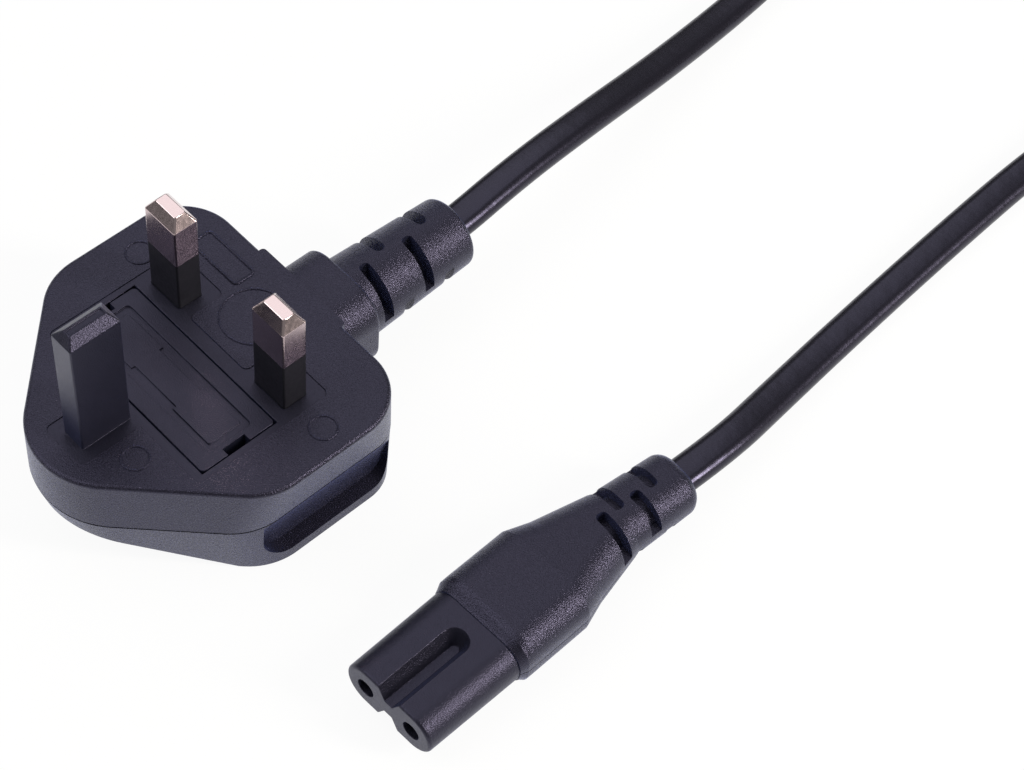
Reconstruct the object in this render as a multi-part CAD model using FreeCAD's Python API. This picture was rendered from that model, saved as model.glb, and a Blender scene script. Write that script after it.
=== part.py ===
import FreeCAD, Part
import math
import os

# A figure eight mains lead: a two-hole connector, a flat twin cord and a fused three-pin plug.
# Frame: the floor is z = 0, the connector lies along Y with its mouth towards -Y, and the
# origin is under the middle of the connector. All sizes are in millimetres.

# Connector, measured from its mouth along its axis
hole_pitch = 8.6
hole_diameter = 2.9
hole_depth = 3.2
nose_width = 15.8
nose_height = 7.3
nose_draft = 0.15
nose_length = 16.4
nose_tail = 1.6
tail_inset = 1.1
lip_rounding = 0.5
groove_width = 4.2
groove_floor = 1.4
groove_depth = 2.5
groove_length = 14.0
grip_width = 17.2
grip_height = 10.2
grip_flat = 1.0
grip_bevel = 2.0
grip_length = 12.6
shoulder_step = 0.1
shoulder_flat = 0.45
shoulder_rise = 0.35
shoulder_side = 0.3
shoulder_top = 1.0
side_bevel = 1.1
ramp_left = 0.45
parting_height = 0.15
parting_depth = 0.13
parting_end = 37.5
neck_wider = 1.6
neck_height = 9.2
neck_at = 42.0
taper_share = 0.3
taper_hollow = 0.27
taper_flat = 0.6
relief_wider = 1.5
relief_height = 8.2
relief_flat = 0.2
relief_inset = 0.05
relief_edge = 1.8
connector_length = 54.8
relief_lean = 4.8
lean_at = 39.5

# Slots that let each strain relief flex, cut in turn on one side and then the other
connector_slot = 1.9
connector_slot_first = 39.85
connector_slot_pitch = 3.1
plug_slot = 1.8
plug_slot_first = 24.3
plug_slot_pitch = 4.05
slots_each = 4
connector_slot_past = 0.6
connector_slot_rib = 0.7
plug_slot_past = -0.1
plug_slot_rib = -0.4
slot_round = 0.85
relief_core = 1.0

# Socket contact, a rolled sleeve with a crimped tail
contact_bore = 2.4
contact_wall = 0.45
contact_length = 11.0
contact_split = 0.5
crimp_length = 4.0
crimp_wall = 0.4

# Flat twin cord
cord_width = 5.6
cord_height = 3.4
core_diameter = 2.0
core_gap = 0.1
conductor_diameter = 1.1
strip_length = 0.4
spread_start = 0.15
spread_end = 0.85

# Plug, in its own frame: the face is z = 0, the pins stand up and the cord leaves towards +Y
pin_spacing = 22.2
earth_back = 22.2
pin_width = 6.35
pin_thickness = 4.0
pin_height = 17.7
pin_tip = 1.7
pin_tip_inset = 1.1
pin_corner = 0.3
pin_edge = 0.2
pin_flat_top = 9.1
sleeve_wall = 0.5
sleeve_root = 3.0
rivet_diameter = 2.0
rivet_stand = 0.4
earth_width = 4.0
earth_length = 8.0
earth_height = 22.5
earth_tip = 1.3
earth_tip_side = 1.32
earth_tip_end = 1.05
earth_corner = 0.25
earth_recess = 0.25
earth_recess_rim = 0.2
face_half = 24.4
face_top = 13.1
face_slant = 36.4
face_rounding = 0.6
side_corner = 10.0
face_corner = 8.9
face_apex = 11.8
seam_depth = 9.05
seam_half = 22.6
seam_slant = 36.75
seam_corner = 5.6
seam_apex = 12.7
seam_step = 0.05
seam_gap = 0.32
seam_cut = 0.6
back_rim_depth = 20.0
back_half = 22.9
back_slant = 34.3
back_corner = 6.8
back_apex = 13.5
back_inset = 0.3
plug_depth = 20.4
back_flat_end = -14.0
back_slope = 26.0
grip_radius = 14.0
grip_bite = 2.2
grip_centre_depth = 16.8
grip_floor_depth = 18.3
grip_back = -12.4
grip_front = 10.7
grip_front_round = 3.0
grip_back_round = 4.6
lug_half = 8.8
lug_reach = 0.65
lug_corner = 0.6
flange_width = 15.9
flange_height = 15.0
flange_corner = 5.0
flange_end = 21.15
flange_edge = 0.6
axis_depth = 10.2
sleeve_start = 6.8
sleeve_end = 5.6
sleeve_edge = 0.9
plug_relief_end = 41.8

# Smooth inner moulding of the plug, which carries the pins and the fuse
insert_half = 16.2
insert_top = 4.3
insert_bottom = -18.2
insert_corner = 0.9
notch_half = 6.0
notch_floor = -1.8
leg_half = 4.0
leg_bottom = -28.0
leg_depth = 9.5
insert_sink = 0.12
insert_depth = 13.4

# Fuse and its pull-out carrier
fuse_length = 25.4
fuse_diameter = 6.35
fuse_cap = 5.5
fuse_cap_wall = 0.25
fuse_middle = -10.4
fuse_depth = 7.3
carrier_half = 15.2
carrier_width = 12.8
carrier_gap = 0.2
carrier_plate = 1.9
carrier_wall = 1.3
carrier_depth = 10.4
carrier_corner = 0.7
panel_half = 13.2
panel_width = 7.4
panel_sink = 0.35
emblem_rise = 0.25
emblem_half = 12.0
emblem_width = 5.4
emblem_waist_half = 4.4
emblem_waist = 4.2
emblem_corner = 0.3
emblem_lap = 0.5
pry_length = 3.7
pry_width = 1.2
pry_depth = 2.6
saddle_at = 4.9
saddle_width = 1.4
saddle_wrap = 1.2
clip_sheet = 0.5
clip_width = 4.4
clip_gap = 0.15
clip_flare = 0.5
clip_bend = 0.1
clip_top_above_axis = 2.2
strap_width = 2.0
supply_strap_x = 1.5
neutral_strap_x = -7.5
strap_end = 5.6
crimp_web = 1.0

# Where the plug lies: its face origin beside the connector, and its turn about the vertical
plug_x = -50.91
plug_y = -9.98
plug_turn = -1.7

# Cord route by hand, from inside the connector to the coil, and from inside the plug to the coil
jacket_in_connector = 32.4
jacket_in_plug = 27.0
connector_route = [
    (1.7, 36.0, 4.7),
    (0.25, 50.0, 2.75),
    (-0.95, 66.0, 1.7),
    (-1.85, 90.0, 1.7),
    (-2.3, 117.5, 1.7),
    (0.8, 142.0, 1.9),
    (7.5, 166.0, 2.6),
    (10.0, 190.0, 2.8),
]
plug_route = [
    (-51.0, 47.0, 10.5),
    (-52.2, 64.0, 8.8),
    (-54.15, 84.0, 5.1),
    (-56.9, 108.0, 2.0),
    (-59.4, 132.0, 2.5),
    (-64.0, 157.0, 5.3),
    (-66.0, 181.5, 8.4),
]
plug_straight = 40.0

# Coil of the cord that is put away
coil_x = -28.0
coil_y = 190.0
coil_outer_turn = 38.0
coil_turns = 7.5
coil_layers = 2
turn_gap = 0.15
coil_edge = 1.2

# A corner that is as round as it can be keeps this little flat beside it
hair = 0.01
arc_share = 0.45

# Worked out from the sizes above
neck_width = neck_height + neck_wider
relief_width = relief_height + relief_wider
mouth_y = -connector_length / 2
nose_back = nose_length + nose_tail
crimp_back = nose_back + crimp_length
axis_height = grip_height / 2
big = 4 * plug_depth
strap_top = -(axis_depth + core_diameter / 2)
clip_floor = strap_top - clip_sheet
core_x = (core_diameter + core_gap) / 2


def vec(x, y, z=0.0):
    return FreeCAD.Vector(x, y, z)


def box(x0, x1, y0, y1, z0, z1):
    return Part.makeBox(x1 - x0, y1 - y0, z1 - z0, vec(x0, y0, z0))


def rod(radius, start, end):
    along = end - start
    return Part.makeCylinder(radius, along.Length, start, along)


def joined(shapes):
    return shapes[0].multiFuse(shapes[1:]).removeSplitter()


def rounded_wire(corners, radii):
    """A closed wire through the corners, each rounded by its own radius."""
    starts, middles, ends = [], [], []
    for i, corner in enumerate(corners):
        back = (corners[i - 1] - corner).normalize()
        ahead = (corners[(i + 1) % len(corners)] - corner).normalize()
        half = back.getAngle(ahead) / 2
        reach = radii[i] / math.tan(half)
        bisector = (back + ahead).normalize()
        starts.append(corner + back * reach)
        ends.append(corner + ahead * reach)
        middles.append(corner + bisector * (radii[i] / math.sin(half) - radii[i]))
    edges = []
    for i in range(len(corners)):
        edges.append(Part.Arc(starts[i], middles[i], ends[i]).toShape())
        follow = starts[(i + 1) % len(corners)]
        if ends[i].distanceToPoint(follow) > 1e-6:
            edges.append(Part.LineSegment(ends[i], follow).toShape())
    return Part.Wire(edges)


def flat_shape(points, radii, z0, z1):
    """A rounded outline in plan, given height."""
    wire = rounded_wire([vec(x, y, z0) for x, y in points], radii)
    return Part.Face(wire).extrude(vec(0, 0, z1 - z0))


def section(width, height, corner, y, x=0.0, z=0.0):
    """A rounded rectangle across the Y axis."""
    a, b = width / 2, height / 2
    corners = [vec(x + sx * a, y, z + sz * b) for sx, sz in ((1, 1), (-1, 1), (-1, -1), (1, -1))]
    return rounded_wire(corners, [corner] * 4)


def eased(width, height, flat, y, x=0.0):
    """A section whose corners leave only a short straight beside them, half of it flat long."""
    return section(width, height, height / 2 - flat, y, x)


def loft(wires):
    return Part.makeLoft(wires, True, True)


def edges_at(shape, axis, value):
    """Edges whose both ends and middle lie at one coordinate."""
    found = []
    for edge in shape.Edges:
        box_ = edge.BoundBox
        low, high = (getattr(box_, axis + "Min"), getattr(box_, axis + "Max"))
        if abs(low - value) < 1e-3 and abs(high - value) < 1e-3:
            found.append(edge)
    return found


def route(points):
    """Straight runs joined by tangent arcs, each as large as its two runs allow."""
    points = [vec(*p) for p in points]
    edges, radii = [], []
    last = points[0]
    for before, corner, after in zip(points, points[1:], points[2:]):
        back, ahead = before - corner, after - corner
        shorter = min(back.Length, ahead.Length)
        back.normalize()
        ahead.normalize()
        half_turn = (math.pi - back.getAngle(ahead)) / 2
        reach = arc_share * shorter
        radius = reach / math.tan(half_turn)
        radii.append(radius)
        into, out = corner + back * reach, corner + ahead * reach
        inward = (back + ahead).normalize()
        middle = corner + inward * (radius / math.cos(half_turn) - radius)
        edges.append(Part.LineSegment(last, into).toShape())
        edges.append(Part.Arc(into, middle, out).toShape())
        last = out
    edges.append(Part.LineSegment(last, points[-1]).toShape())
    return Part.Wire(edges), radii


def swept(profile, path):
    """A solid of one profile along a path, kept level from side to side."""
    pipe = Part.BRepOffsetAPI.MakePipeShell(path)
    pipe.setBiNormalMode(vec(0, 0, 1))
    pipe.add(profile)
    pipe.build()
    pipe.makeSolid()
    return pipe.shape()


def facing(wire_at_origin, start, ahead):
    """Turns a section drawn across Y at the origin so that it stands across a path's start."""
    placed = wire_at_origin.copy()
    level = vec(ahead.x, ahead.y, 0)
    turn = FreeCAD.Rotation(vec(0, 1, 0), level)
    placed.Placement = FreeCAD.Placement(start, turn)
    return placed


def oval(width, height):
    return section(width, height, height / 2 - hair, 0.0)


def cord_tube(name, points):
    path, radii = route(points)
    start, second = vec(*points[0]), vec(*points[1])
    tube = swept(facing(oval(cord_width, cord_height), start, second - start), path)
    area = Part.Face(oval(cord_width, cord_height)).Area
    print(name, "length", round(path.Length, 1), "volume ratio", round(tube.Volume / area / path.Length, 4))
    print(name, "radii", [round(r) for r in radii])
    return tube


def wire_run(radius, points):
    """A round wire along a planar path."""
    path, _ = route(points)
    start, second = vec(*points[0]), vec(*points[1])
    circle = Part.Wire(Part.makeCircle(radius, start, second - start))
    return path.makePipeShell([circle], True, False)


def slot_cutter(width, past, rib, side, core):
    """Two opposite quarter slots across Y at the origin, outside the core."""
    reach, end = plug_depth, width / 2
    outline = rounded_wire(
        [vec(-past, -end), vec(reach, -end), vec(reach, end), vec(-past, end)],
        [slot_round * width / 2, hair, hair, slot_round * width / 2],
    )
    quarter = Part.Face(outline).extrude(vec(0, 0, reach))
    quarter.translate(vec(0, 0, rib))
    opposite = quarter.copy()
    opposite.rotate(vec(0, 0, 0), vec(0, 1, 0), 180)
    pair = Part.makeCompound([quarter, opposite])
    if side < 0:
        pair = pair.mirror(vec(0, 0, 0), vec(1, 0, 0))
    return pair.cut(core)


def relief_slots(width, first, pitch, past, rib, z):
    """All the slots of one strain relief, along Y at height z."""
    a = cord_width + 2 * relief_core
    b = cord_height + 2 * relief_core
    cuts = []
    for i in range(slots_each):
        core = Part.Face(section(a, b, b / 2 - hair, -width)).extrude(vec(0, 2 * width, 0))
        cut = slot_cutter(width, past, rib, 1 if i % 2 == 0 else -1, core)
        cut.translate(vec(0, first + i * pitch, z))
        cuts.append(cut)
    return cuts


# The connector is drawn with its mouth at y = 0 and its axis at z = 0.
def lean(shape):
    """Leans what lies behind the neck, as the flexed relief does."""
    shape.rotate(vec(0, lean_at, 0), vec(0, 0, 1), -relief_lean)
    return shape


def nose_blank():
    half = nose_height / 2
    front = section(nose_width, nose_height, half - hair, 0.0)
    back = section(nose_width + 2 * nose_draft, nose_height + 2 * nose_draft, half, nose_length)
    nose = loft([front, back])
    nose = nose.makeFillet(lip_rounding, edges_at(nose, "Y", 0.0))
    inner = half - tail_inset
    tail = section(nose_width - 2 * tail_inset, 2 * inner, inner - hair, nose_length)
    return nose.fuse(Part.Face(tail).extrude(vec(0, nose_tail, 0)))


def nose_groove(side):
    """The tapered channel along the middle of the top or the bottom of the nose."""
    top = nose_height / 2 + nose_draft
    floor = top - groove_depth
    wide, narrow = groove_width / 2, groove_floor / 2
    profile = [vec(-wide, 0, top), vec(-narrow, 0, floor), vec(narrow, 0, floor), vec(wide, 0, top)]
    rim = [vec(wide, 0, big), vec(-wide, 0, big)]
    wire = Part.makePolygon(profile + rim + [profile[0]])
    straight = groove_length - wide
    channel = Part.Face(wire).extrude(vec(0, straight, 0))
    end = Part.makeCone(narrow, wide, groove_depth, vec(0, straight, floor))
    rise = Part.makeCylinder(wide, big, vec(0, straight, top))
    groove = joined([channel, end, rise])
    if side < 0:
        groove.rotate(vec(0, 0, 0), vec(0, 1, 0), 180)
    return groove


def contact(x):
    """A split sleeve contact behind the hole, with a shank and a crimp barrel behind the nose."""
    outer = contact_bore / 2 + contact_wall
    end = hole_depth + contact_length
    blank = contact_blank(x)
    body = blank.cut(rod(contact_bore / 2, vec(x, hole_depth), vec(x, end - contact_wall)))
    body = body.cut(rod(conductor_diameter / 2, vec(x, nose_back), vec(x, crimp_back)))
    half = contact_split / 2
    split = box(x - half, x + half, hole_depth, end - contact_wall - contact_bore / 2, 0, 2 * outer)
    return body.cut(split).removeSplitter()


def contact_blank(x):
    """The space that a contact takes up, its bore and slit included."""
    end = hole_depth + contact_length
    sleeve = rod(contact_bore / 2 + contact_wall, vec(x, hole_depth), vec(x, end))
    shank = rod(conductor_diameter / 2 + crimp_wall, vec(x, end), vec(x, crimp_back))
    return sleeve.fuse(shank)


def connector_core_points(side):
    start = crimp_back
    x0, x1 = side * hole_pitch / 2, side * core_x
    room = jacket_in_connector - start
    return [
        (x0, start, 0.0),
        (x0, start + spread_start * room, 0.0),
        (x1, start + spread_end * room, 0.0),
        (x1, jacket_in_connector, 0.0),
    ]


def core_and_conductor(points, into_crimp):
    """The insulation of one core and the copper inside it, which runs on into the crimp."""
    start, end = vec(*points[0]), vec(*points[1])
    ahead = (end - start).normalize()
    copper = wire_run(conductor_diameter / 2, points)
    bare = rod(conductor_diameter / 2, start - ahead * into_crimp, start)
    copper = copper.fuse(bare).removeSplitter()
    first = start + ahead * strip_length
    jacket = wire_run(core_diameter / 2, [tuple(first)] + points[1:])
    return jacket.cut(copper), copper


def connector_grip(inset):
    """The grip, from its steep shoulder to its taper, with all its sides moved in by the inset."""
    step = 2 * (shoulder_step + nose_draft - inset)
    wide, high = grip_width - 2 * inset, grip_height - 2 * inset
    thin, low = neck_width - 2 * inset, neck_height - 2 * inset
    wide_to = nose_length + grip_length
    hollow_at = wide_to + taper_share * (neck_at - wide_to)
    hollow_wide = wide + taper_share * (thin - wide) - 2 * taper_hollow
    hollow_high = high + taper_share * (low - high)
    aside = (neck_at - lean_at) * math.tan(math.radians(relief_lean))
    slim, shallow = wide - 2 * shoulder_side, high - 2 * shoulder_top
    return loft(
        [
            eased(nose_width + step, nose_height + step, shoulder_flat, nose_length),
            eased(slim, shallow, shoulder_flat, nose_length + shoulder_rise),
            eased(wide, high - 2 * ramp_left, grip_flat, nose_length + side_bevel),
            eased(wide, high, grip_flat, nose_length + grip_bevel),
            eased(wide, high, grip_flat, wide_to),
            eased(hollow_wide, hollow_high, taper_flat, hollow_at, taper_share * aside),
            eased(thin, low, relief_flat, neck_at, aside),
        ]
    )


def connector_outer():
    half = parting_height / 2
    parting = box(-grip_width, grip_width, nose_length, parting_end, -half, half)
    grip = connector_grip(0.0).cut(parting.cut(connector_grip(parting_depth)))
    start_width = neck_width - 2 * relief_inset
    relief = loft(
        [
            eased(start_width, neck_height - 2 * relief_inset, relief_flat, lean_at),
            eased(relief_width, relief_height, relief_flat, connector_length),
        ]
    )
    relief = relief.makeFillet(relief_edge, edges_at(relief, "Y", connector_length))
    outer = grip.fuse(lean(relief))
    slots = relief_slots(
        connector_slot,
        connector_slot_first,
        connector_slot_pitch,
        connector_slot_past,
        connector_slot_rib,
        0.0,
    )
    return outer.cut([lean(slot) for slot in slots])


def to_row(shape):
    shape.translate(vec(0, mouth_y, axis_height))
    return shape


def connector(cord):
    """All the pieces of the connector, where they lie. The cord is what the grip is moulded round."""
    pieces = {}
    nose = nose_blank().cut([nose_groove(1), nose_groove(-1)])
    sides = (("left", -1), ("right", 1))
    inner = []
    for name, side in sides:
        x = side * hole_pitch / 2
        nose = nose.cut(rod(hole_diameter / 2, vec(x, 0), vec(x, hole_depth)))
        socket = contact(x)
        jacket, copper = core_and_conductor(connector_core_points(side), crimp_length)
        pieces["contact_socket_" + name] = socket
        pieces["connector_core_" + name] = jacket
        pieces["connector_conductor_" + name] = copper
        nose = nose.cut(contact_blank(x))
        inner += [socket, jacket, copper]
    pieces["connector_nose"] = nose
    body = connector_outer().cut([nose_blank()] + inner)
    pieces["connector_body"] = body
    for shape in pieces.values():
        to_row(shape)
    pieces["connector_body"] = pieces["connector_body"].cut(cord)
    return pieces


# The plug is drawn in its own frame and then laid beside the connector.
def plug_outline(half, slant, corner, apex, inset, z):
    """Two square corners at the cord side, two blunt ones and a blunt apex at the earth side."""
    half, top, slant = half - inset, face_top - inset, slant - inset * math.sqrt(2)
    corners = [(half, top), (-half, top), (-half, half - slant), (0, -slant), (half, half - slant)]
    radii = [corner, corner, side_corner, apex, side_corner]
    return rounded_wire([vec(x, y, z) for x, y in corners], [r - inset for r in radii])


def seam_outline(inset, z):
    return plug_outline(seam_half, seam_slant, seam_corner, seam_apex, inset, z)


def back_outline(inset, z):
    return plug_outline(back_half, back_slant, back_corner, back_apex, inset, z)


def plug_shell():
    """The outer form of the plug: upper wall, lower half with its grips, and the sloped back."""
    upper = loft(
        [
            seam_outline(0.0, -seam_depth),
            plug_outline(face_half, face_slant, face_corner, face_apex, 0.0, 0.0),
        ]
    )
    upper = upper.makeFillet(face_rounding, edges_at(upper, "Z", 0.0))
    lower = loft(
        [
            back_outline(back_inset, -plug_depth),
            back_outline(0.0, -back_rim_depth),
            seam_outline(seam_step, -seam_depth - seam_gap),
        ]
    )
    seam = Part.Face(seam_outline(seam_cut, -seam_depth - seam_gap))
    wedge = box(-big, big, -big, 0, -big, 0)
    wedge.rotate(vec(0, 0, 0), vec(1, 0, 0), -back_slope)
    wedge.translate(vec(0, back_flat_end, -plug_depth))
    lower = lower.cut(wedge)
    deep = seam_half - grip_bite
    for side in (-1, 1):
        centre = vec(side * (deep + grip_radius), grip_back, -grip_centre_depth)
        groove = rod(grip_radius, centre, centre + vec(0, grip_front - grip_back))
        x = side * deep
        corners = [
            vec(x, grip_back, -seam_depth),
            vec(x, grip_front, -seam_depth),
            vec(x, grip_front, -grip_floor_depth),
            vec(x, grip_back, -grip_floor_depth),
        ]
        scoop = Part.Face(rounded_wire(corners, [hair, hair, grip_front_round, grip_back_round]))
        lower = lower.cut(groove.common(scoop.extrude(vec(side * big, 0))))
    return joined([upper, seam.extrude(vec(0, 0, seam_gap)), lower])


def plug_relief():
    """The lug at the face, the flange and the slotted sleeve, all about the cord's axis."""
    top = face_top + lug_reach
    lug = flat_shape(
        [(-lug_half, 0), (lug_half, 0), (lug_half, top), (-lug_half, top)],
        [lug_corner] * 4,
        -2 * axis_depth + lug_corner,
        0,
    )
    flange = Part.Face(section(flange_width, flange_height, flange_corner, 0, 0, -axis_depth))
    flange = flange.extrude(vec(0, flange_end, 0))
    flange = flange.makeFillet(flange_edge, edges_at(flange, "Y", flange_end))
    length = plug_relief_end - face_top
    sleeve = Part.makeCone(sleeve_start, sleeve_end, length, vec(0, face_top, -axis_depth), vec(0, 1, 0))
    sleeve = sleeve.makeFillet(sleeve_edge, edges_at(sleeve, "Y", plug_relief_end))
    slots = relief_slots(
        plug_slot,
        plug_slot_first,
        plug_slot_pitch,
        plug_slot_past,
        plug_slot_rib,
        -axis_depth,
    )
    return joined([lug, flange, sleeve.cut(slots)])


def insert_blank(top):
    """A block with a notch between the pins, and a shallower leg that carries the earth pin."""
    points = [
        (insert_half, insert_top),
        (notch_half, insert_top),
        (notch_half, notch_floor),
        (-notch_half, notch_floor),
        (-notch_half, insert_top),
        (-insert_half, insert_top),
        (-insert_half, insert_bottom),
        (insert_half, insert_bottom),
    ]
    block = flat_shape(points, [insert_corner] * len(points), -insert_depth, top)
    leg = [
        (leg_half, notch_floor - insert_corner),
        (-leg_half, notch_floor - insert_corner),
        (-leg_half, leg_bottom),
        (leg_half, leg_bottom),
    ]
    return joined([block, flat_shape(leg, [insert_corner] * len(leg), -leg_depth, top)])


def earth_bar():
    """The plastic earth pin, part of the insert, with a chamfered tip and a shallow recess."""
    narrow, short = earth_width - 2 * earth_tip_side, earth_length - 2 * earth_tip_end
    base, rim = earth_height - earth_tip, earth_recess_rim

    def across(width, length, corner, z):
        return bar_section(0.0, -earth_back, width, length, corner, z)

    shank = Part.Face(across(earth_width, earth_length, earth_corner, -leg_depth))
    tip = loft(
        [
            across(earth_width, earth_length, earth_corner, base),
            across(narrow, short, earth_corner, earth_height),
        ]
    )
    bar = joined([shank.extrude(vec(0, 0, base + leg_depth)), tip])
    floor = earth_height - earth_recess
    pocket = Part.Face(across(narrow - 2 * rim, short - 2 * rim, earth_corner - rim / 2, floor))
    return bar.cut(pocket.extrude(vec(0, 0, earth_recess)))


def bar_section(x, y, width, depth, corner, z):
    """A rounded rectangle across the Z axis."""
    a, b = width / 2, depth / 2
    corners = [vec(x + sx * a, y + sy * b, z) for sx, sy in ((1, 1), (-1, 1), (-1, -1), (1, -1))]
    return rounded_wire(corners, [corner] * 4)


def pin(x):
    """A brass pin: chamfered tip, full section above the sleeve, a thinner shank and a rivet."""
    a, b = pin_width / 2, pin_thickness / 2
    base, less = pin_height - pin_tip, 2 * pin_tip_inset
    flat = Part.Face(bar_section(x, 0, pin_width, pin_thickness, pin_corner, pin_flat_top))
    tip = loft(
        [
            bar_section(x, 0, pin_width, pin_thickness, pin_corner, base),
            bar_section(x, 0, pin_width - less, pin_thickness - less, pin_corner, pin_height),
        ]
    )
    blade = joined([flat.extrude(vec(0, 0, base - pin_flat_top)), tip])
    blade = blade.makeFillet(pin_edge, edges_at(blade, "Z", base) + edges_at(blade, "Z", pin_height))
    c, d = a - sleeve_wall, b - sleeve_wall
    shank = box(x - c, x + c, -d, d, strap_top, pin_flat_top)
    foot = clip_floor - rivet_stand
    rivet = rod(rivet_diameter / 2, vec(x, 0, foot), vec(x, 0, strap_top))
    return joined([blade, shank, rivet])


def pin_sleeve(x):
    """The insulating sleeve moulded round the lower half of a pin."""
    a, b, wall = pin_width / 2, pin_thickness / 2, sleeve_wall
    outer = Part.Face(bar_section(x, 0, pin_width, pin_thickness, pin_corner, -sleeve_root))
    outer = outer.extrude(vec(0, 0, pin_flat_top + sleeve_root))
    return outer.cut(box(x - a + wall, x + a - wall, -b + wall, b - wall, -sleeve_root, pin_flat_top))


def fuse():
    """A ceramic barrel with a brass cap on each end."""
    radius = fuse_diameter / 2
    half = fuse_length / 2
    y, z = fuse_middle, -fuse_depth
    barrel = rod(radius - fuse_cap_wall, vec(-half + fuse_cap_wall, y, z), vec(half - fuse_cap_wall, y, z))
    caps = []
    for side in (-1, 1):
        outer = rod(radius, vec(side * (half - fuse_cap), y, z), vec(side * half, y, z))
        caps.append(outer.cut(barrel))
    return barrel, caps


def carrier():
    """The pull-out drawer: a face plate, four walls and two saddles that hold the fuse."""
    half, wide = carrier_half - carrier_gap, carrier_width / 2 - carrier_gap
    y, top = fuse_middle, -insert_sink
    under = top - carrier_plate
    floor = -carrier_depth

    def outline(a, b, z0, z1, r):
        return flat_shape([(a, y + b), (-a, y + b), (-a, y - b), (a, y - b)], [r] * 4, z0, z1)

    block = outline(half, wide, floor, top, carrier_corner)
    hollow = outline(half - carrier_wall, wide - carrier_wall, floor, under, carrier_corner)
    body = block.cut(hollow)
    barrel_radius = fuse_diameter / 2 - fuse_cap_wall
    saddles = []
    for side in (-1, 1):
        x0, x1 = sorted((side * saddle_at, side * (saddle_at - saddle_width)))
        inside = wide - carrier_wall
        rib = box(x0, x1, y - inside, y + inside, -fuse_depth - saddle_wrap, under)
        saddles.append(rib.cut(rod(barrel_radius, vec(x0, y, -fuse_depth), vec(x1, y, -fuse_depth))))
    body = joined([body] + saddles)
    panel = outline(panel_half, panel_width / 2, top - panel_sink, top, carrier_corner)
    low, high = top - panel_sink, top - panel_sink + emblem_rise
    waist = outline(emblem_waist_half + emblem_lap, emblem_waist / 2, low, high, emblem_corner)
    ends = outline(emblem_half, emblem_width / 2, low, high, emblem_corner)
    middle = box(-emblem_waist_half, emblem_waist_half, y - wide, y + wide, low, high)
    emblem = joined([waist, ends.cut(middle)])
    body = body.cut(panel.cut(emblem))
    for side in (-1, 1):
        x0, x1 = sorted((side * half, side * (half - pry_width)))
        body = body.cut(box(x0, x1, y - pry_length / 2, y + pry_length / 2, top - pry_depth, 0))
    return body.removeSplitter()


def clip_profile(x0, x1):
    """A U of sheet metal, open to the face, that the fuse cap slides down into."""
    inner = fuse_diameter / 2 + clip_gap
    outer = inner + clip_sheet
    lip = -fuse_depth + clip_top_above_axis
    half = [
        (inner, strap_top),
        (inner, lip),
        (inner + clip_flare, lip + clip_flare),
        (outer + clip_flare, lip + clip_flare),
        (outer, lip - clip_bend),
        (outer, clip_floor),
    ]
    points = [(-y, z) for y, z in reversed(half)]
    points += half
    ring = [vec(x0, fuse_middle + y, z) for y, z in points]
    return Part.Face(Part.makePolygon(ring + ring[:1])).extrude(vec(x1 - x0, 0, 0))


def crimp(x):
    """A barrel on the end of a strap, open along Y for the conductor."""
    outer = core_diameter / 2
    barrel = rod(outer, vec(x, strap_end, -axis_depth), vec(x, strap_end + crimp_length, -axis_depth))
    y0, y1 = strap_end - crimp_web, strap_end + crimp_length
    web = box(x - outer / 2, x + outer / 2, y0, y1, clip_floor, -axis_depth)
    tube = barrel.fuse(web)
    return tube.cut(rod(conductor_diameter / 2, vec(x, 0, -axis_depth), vec(x, big, -axis_depth)))


def fuse_clips():
    """The clip on the live pin, and the clip that the supply's live core is crimped to."""
    at = fuse_length / 2 - fuse_cap / 2
    half, pin_x = clip_width / 2, pin_spacing / 2
    a, b = pin_width / 2, pin_thickness / 2
    line = clip_profile(at - half, at + half)
    tongue = box(at - half, at + half, fuse_middle, -b, clip_floor, strap_top)
    pad = box(pin_x - a, pin_x + a, -b, b, clip_floor, strap_top)
    hole = rod(rivet_diameter / 2, vec(pin_x, 0, -big), vec(pin_x, 0, 0))
    line = joined([line, tongue, pad]).cut(hole)
    supply = clip_profile(-at - half, -at + half)
    edge = strap_width / 2
    x = supply_strap_x
    arm = box(-at, x + edge, fuse_middle - edge, fuse_middle + edge, clip_floor, strap_top)
    strap = box(x - edge, x + edge, fuse_middle - edge, strap_end, clip_floor, strap_top)
    supply = joined([supply, arm, strap, crimp(x)])
    return line, supply


def neutral_terminal():
    """A strap riveted under the neutral pin, with a crimp barrel for its core."""
    a, b, edge = pin_width / 2, pin_thickness / 2, strap_width / 2
    pin_x, x = -pin_spacing / 2, neutral_strap_x
    pad = box(pin_x - a, x + edge, -b, b, clip_floor, strap_top)
    strap = box(x - edge, x + edge, -b, strap_end, clip_floor, strap_top)
    hole = rod(rivet_diameter / 2, vec(pin_x, 0, -big), vec(pin_x, 0, 0))
    return joined([pad, strap, crimp(x)]).cut(hole)


def plug_core_points(crimp_x, x):
    start = strap_end + crimp_length
    room = jacket_in_plug - start
    z = -axis_depth
    return [
        (crimp_x, start, z),
        (crimp_x, start + spread_start * room, z),
        (x, start + spread_end * room, z),
        (x, jacket_in_plug, z),
    ]


def to_plug_place(shape):
    turn = FreeCAD.Rotation(vec(0, 0, 1), plug_turn)
    place = FreeCAD.Placement(vec(plug_x, plug_y, plug_depth), turn)
    shape.Placement = place.multiply(shape.Placement)
    return shape


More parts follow.
